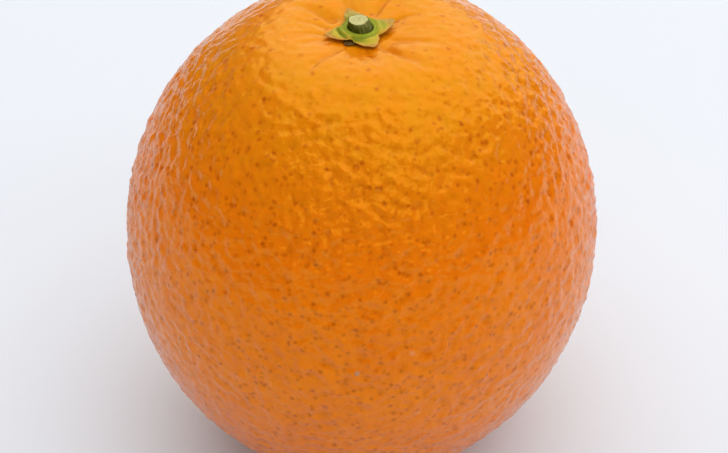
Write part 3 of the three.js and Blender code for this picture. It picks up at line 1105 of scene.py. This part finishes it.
def calyx_colour(leaf, patch, fleck):
    """Green, then one coat after another over it, among them painted shade and a painted highlight."""
    frayed = leaf.math("MULTIPLY", leaf.math("SUBTRACT", patch, 0.5), PATCHY)
    down = leaf.math("ADD", leaf.attribute("along"), frayed)
    # A painted highlight makes the swellings yellower.
    down = leaf.math("ADD", down, leaf.math("MULTIPLY", leaf.attribute("swelling"), SWELLING_HIGHLIGHT))
    colour = leaf.mix(leaf.math("MULTIPLY", down, YELLOW_SOON, clamp=True), CALYX_GREEN, CALYX_YELLOW)
    colour = leaf.mix(leaf.math("MULTIPLY", leaf.attribute("behind"), PALE_SHARE), colour, CALYX_PALE)
    # Painted shade in the grooves.
    colour = leaf.mix(leaf.math("MULTIPLY", leaf.attribute("groove"), SHADE_SHARE), colour, CALYX_SHADE)
    edge = leaf.weighed(leaf.attribute("edge"), patch, TAN_AT_LEAST, clamp=True)
    colour = leaf.mix(edge, colour, CALYX_TAN)
    dried = leaf.weighed(leaf.attribute("dry"), patch, DRIED_AT_LEAST, clamp=True)
    colour = leaf.mix(dried, colour, CALYX_TAN)
    spotted = leaf.weighed(leaf.attribute("dry"), fleck, -UNSPOTTED, clamp=True)
    colour = leaf.mix(spotted, colour, CALYX_DRY)
    # Painted shade darkens the cup round the stem's foot.
    return leaf.mix(leaf.math("MULTIPLY", leaf.attribute("cup"), CUP_SHADE_SHARE, clamp=True), colour, CALYX_CUP_SHADE)


# %% Calyx finish
CALYX_ROUGHNESS, CALYX_UNEVEN = 0.42, 0.2
CALYX_BUMP = 0.00005
LEAF_TINT = (0.9, 1.0, 0.30, 1)
LEAF_LIGHT_INSIDE = 0.15
LEAF_LIGHT_REACH = (0.6, 0.8, 0.15)
LEAF_DEPTH_OF_LIGHT = 0.0004


def calyx_finish():
    leaf = Finish("calyx")
    patch = leaf.grouped(BLOTCHES, **CALYX_PATCHES)
    fleck = leaf.grouped(BLOTCHES, **CALYX_FLECKS)
    leaf.feed("Base Color", calyx_colour(leaf, patch, fleck))
    leaf.feed("Roughness", leaf.scaled(fleck, CALYX_UNEVEN, CALYX_ROUGHNESS))
    leaf.bump(leaf.math("MULTIPLY", leaf.math("ADD", patch, fleck), CALYX_BUMP))
    leaf.set(Subsurface_Weight=LEAF_LIGHT_INSIDE, Subsurface_Radius=LEAF_LIGHT_REACH)
    leaf.set(Subsurface_Scale=LEAF_DEPTH_OF_LIGHT, Specular_Tint=LEAF_TINT)
    return leaf.material


calyx.data.materials.append(calyx_finish())
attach(calyx, "root")
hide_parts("calyx")
print("nodes in the calyx:", len(calyx.data.materials[0].node_tree.nodes))

# %% [markdown]
# ## The stub of stem
# Shears left two millimetres of green twig. Its foot fills the cup, its side is ribbed, and it leans a
# little to the left. The cut is pale, with a ring of bark round it and the pith in the middle, and it isn't
# quite level. A cylinder would need its edge rounded and its cut roughened afterwards. Spinning a profile
# draws both at once, and the ribs are then raised by a wave round the side.

# %% Stem profile
STEM_TOP = 42.4
STEM_STEPS = 176
STEM_CUTS = 2
stem_foot = cup_floor + CLEARANCE
# Each row is a distance from the core and a height, in mm, from the foot up the side and over the cut.
STEM_PROFILE = (
    (0, stem_foot), (1.0, stem_foot), (1.85, stem_foot), (1.93, stem_foot + 0.08), (1.97, stem_foot + 0.35),
    (1.98, COLLAR_TOP - 0.15), (1.98, 41.05), (1.97, 41.3), (1.95, 41.6), (1.91, 41.9), (1.85, 42.12),
    (1.78, 42.26), (1.71, 42.34), (1.63, 42.38), (1.55, 42.36), (1.45, 42.34), (1.2, 42.33), (0.9, 42.34),
    (0.6, 42.35), (0.3, 42.33), (0, 42.32),
)

twig_maker = bmesh.new()
outline_edges = draw_profile(twig_maker, STEM_PROFILE)
bmesh.ops.subdivide_edges(twig_maker, edges=outline_edges, cuts=STEM_CUTS)
spin_round(twig_maker, STEM_STEPS)
twig = put_in_scene("cut_stem", twig_maker)
print("stem:", len(twig.data.polygons), "faces")

# %% Ribs and cut
STEM_LEAN = 0.34
CUT_WIDTH_SHARE = 0.93
STEM_RIBS, RIB_HEIGHT, RIB_STRAYS = 13, 0.03, 3
UNEVEN_HEIGHT, UNEVEN_SIZE = 0.07, 1.6
STRAND_HEIGHT, STRAND_SIZE = 0.03, 0.28
ROUND_STEM, UP_UNEVEN, UP_STRAND = 3, 1.5, 0.4
SIDE_BEGINS, CUT_BEGINS = (1.2, 1.6), (0.85, 0.97)
CUT_SLOPE, CUT_ROUGH, CUT_ROUGH_SIZE = 0.04, 0.05, 0.45
CUT_DROP, CUT_DROPS_FROM = 0.12, (0.5, 1.7)
CUT_STANDS_OVER = 0.05

spots = corners_of(twig)
around = np.arctan2(spots[:, 1], spots[:, 0])
across = np.hypot(spots[:, 0], spots[:, 1])
up_stem = np.clip((spots[:, 2] - COLLAR_TOP) / (STEM_TOP - COLLAR_TOP), 0, 1)
round_x, round_y = np.cos(around) * ROUND_STEM, np.sin(around) * ROUND_STEM
uneven = noise_at(np.column_stack((round_x, round_y, up_stem * UP_UNEVEN)), UNEVEN_SIZE, seed=31)
strand = noise_at(np.column_stack((round_x, round_y, up_stem * UP_STRAND)), STRAND_SIZE, seed=33)
rib = RIB_HEIGHT * np.cos(STEM_RIBS * around + RIB_STRAYS * uneven)
rib = smooth(across, *SIDE_BEGINS) * (rib + UNEVEN_HEIGHT * uneven + STRAND_HEIGHT * strand)
cut = smooth(up_stem, *CUT_BEGINS)
rough = CUT_ROUGH * noise_at(spots, CUT_ROUGH_SIZE, seed=32)
tilt = cut * (CUT_SLOPE * spots[:, 0] + rough - CUT_DROP * smooth(spots[:, 1], *CUT_DROPS_FROM))
narrowing = 1 + (CUT_WIDTH_SHARE - 1) * up_stem
place_corners(twig, np.column_stack((
    (across + rib) * narrowing * np.cos(around) - STEM_LEAN * up_stem,
    (across + rib) * np.sin(around),
    np.minimum(spots[:, 2] + tilt, STEM_TOP + CUT_STANDS_OVER),
)))
print("stem in mm:", (np.ptp(corners_of(twig), axis=0) / MM).round(2).tolist())

# %% Stem attributes
PITH_MIDDLE, PITH_RADIUS = (-0.1, 0.35), 0.6
BARK_RING = (1.58, 1.74)
STRAND_SHARE, LIT_SHARE, LIT_FROM = 0.5, 0.35, 25

from_pith = np.hypot(spots[:, 0] - PITH_MIDDLE[0], spots[:, 1] - PITH_MIDDLE[1])
# Painted light: the bark is made lighter towards the right, where the light comes from.
painted_lit_side = LIT_SHARE * np.cos(around + math.radians(LIT_FROM))
add_attribute(twig, "pith", bell(from_pith, PITH_RADIUS) * cut)
add_attribute(twig, "cut", cut * (1 - smooth(across, *BARK_RING)))
# The strand mask holds the paler strands and the painted light on the right side.
add_attribute(twig, "strand", 0.5 + STRAND_SHARE * strand + painted_lit_side)
print("attributes of the stem:", len(twig.data.attributes))

# %% [markdown]
# ## The stem's finish
# The side is dark green bark with paler strands, and its right side is made lighter by painted light. The
# cut is cream, mottled by the ends of the fibres, which the fine dots stand for. One material does both,
# because one mask of the mesh tells bark from cut.

# %% Stem finish
BARK_GREEN = (0.046, 0.050, 0.002, 1)
# The paler strands' colour, also used as painted light on the right side of the bark.
BARK_STRAND_AND_LIT = (0.200, 0.215, 0.080, 1)
CUT_CREAM = (0.510, 0.480, 0.265, 1)
CUT_FIBRE = (0.250, 0.235, 0.090, 1)
PITH_COLOUR = (0.400, 0.400, 0.250, 1)
BARK_STREAKS = {"Size": 0.0007, "Contrast": 2}
CUT_FIBRES = {"Spacing": 0.00036, "Width": 0.6}
STRAND_ABOVE, STRAND_CONTRAST = 0.45, 1.2
FIBRES_AT_LEAST, PITH_SHARE = 0.4, 0.7
STEM_ROUGHNESS, STEM_UNEVEN = 0.5, 0.2
STEM_BUMP = 0.00004
STEM_TINT, STEM_GLOSS = (0.9, 1.0, 0.3, 1), 0.3


def stem_finish():
    wood = Finish("cut_stem")
    streak = wood.grouped(BLOTCHES, **BARK_STREAKS)
    fibre = wood.grouped(DOTS, **CUT_FIBRES)
    raised = wood.math("SUBTRACT", wood.attribute("strand"), STRAND_ABOVE)
    bark = wood.mix(wood.math("MULTIPLY", raised, STRAND_CONTRAST, clamp=True), BARK_GREEN, BARK_STRAND_AND_LIT)
    pith = wood.attribute("pith")
    face = wood.mix(wood.math("MULTIPLY", pith, PITH_SHARE), CUT_CREAM, PITH_COLOUR)
    face = wood.mix(wood.weighed(fibre, pith, FIBRES_AT_LEAST, clamp=True), face, CUT_FIBRE)
    wood.feed("Base Color", wood.mix(wood.attribute("cut"), bark, face))
    wood.feed("Roughness", wood.scaled(streak, STEM_UNEVEN, STEM_ROUGHNESS))
    wood.bump(wood.math("MULTIPLY", wood.math("ADD", streak, fibre), STEM_BUMP))
    wood.set(Specular_Tint=STEM_TINT, Specular_IOR_Level=STEM_GLOSS)
    return wood.material


twig.data.materials.append(stem_finish())
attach(twig, "root")
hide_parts("stem_stub")
print("nodes in the stem:", len(twig.data.materials[0].node_tree.nodes))
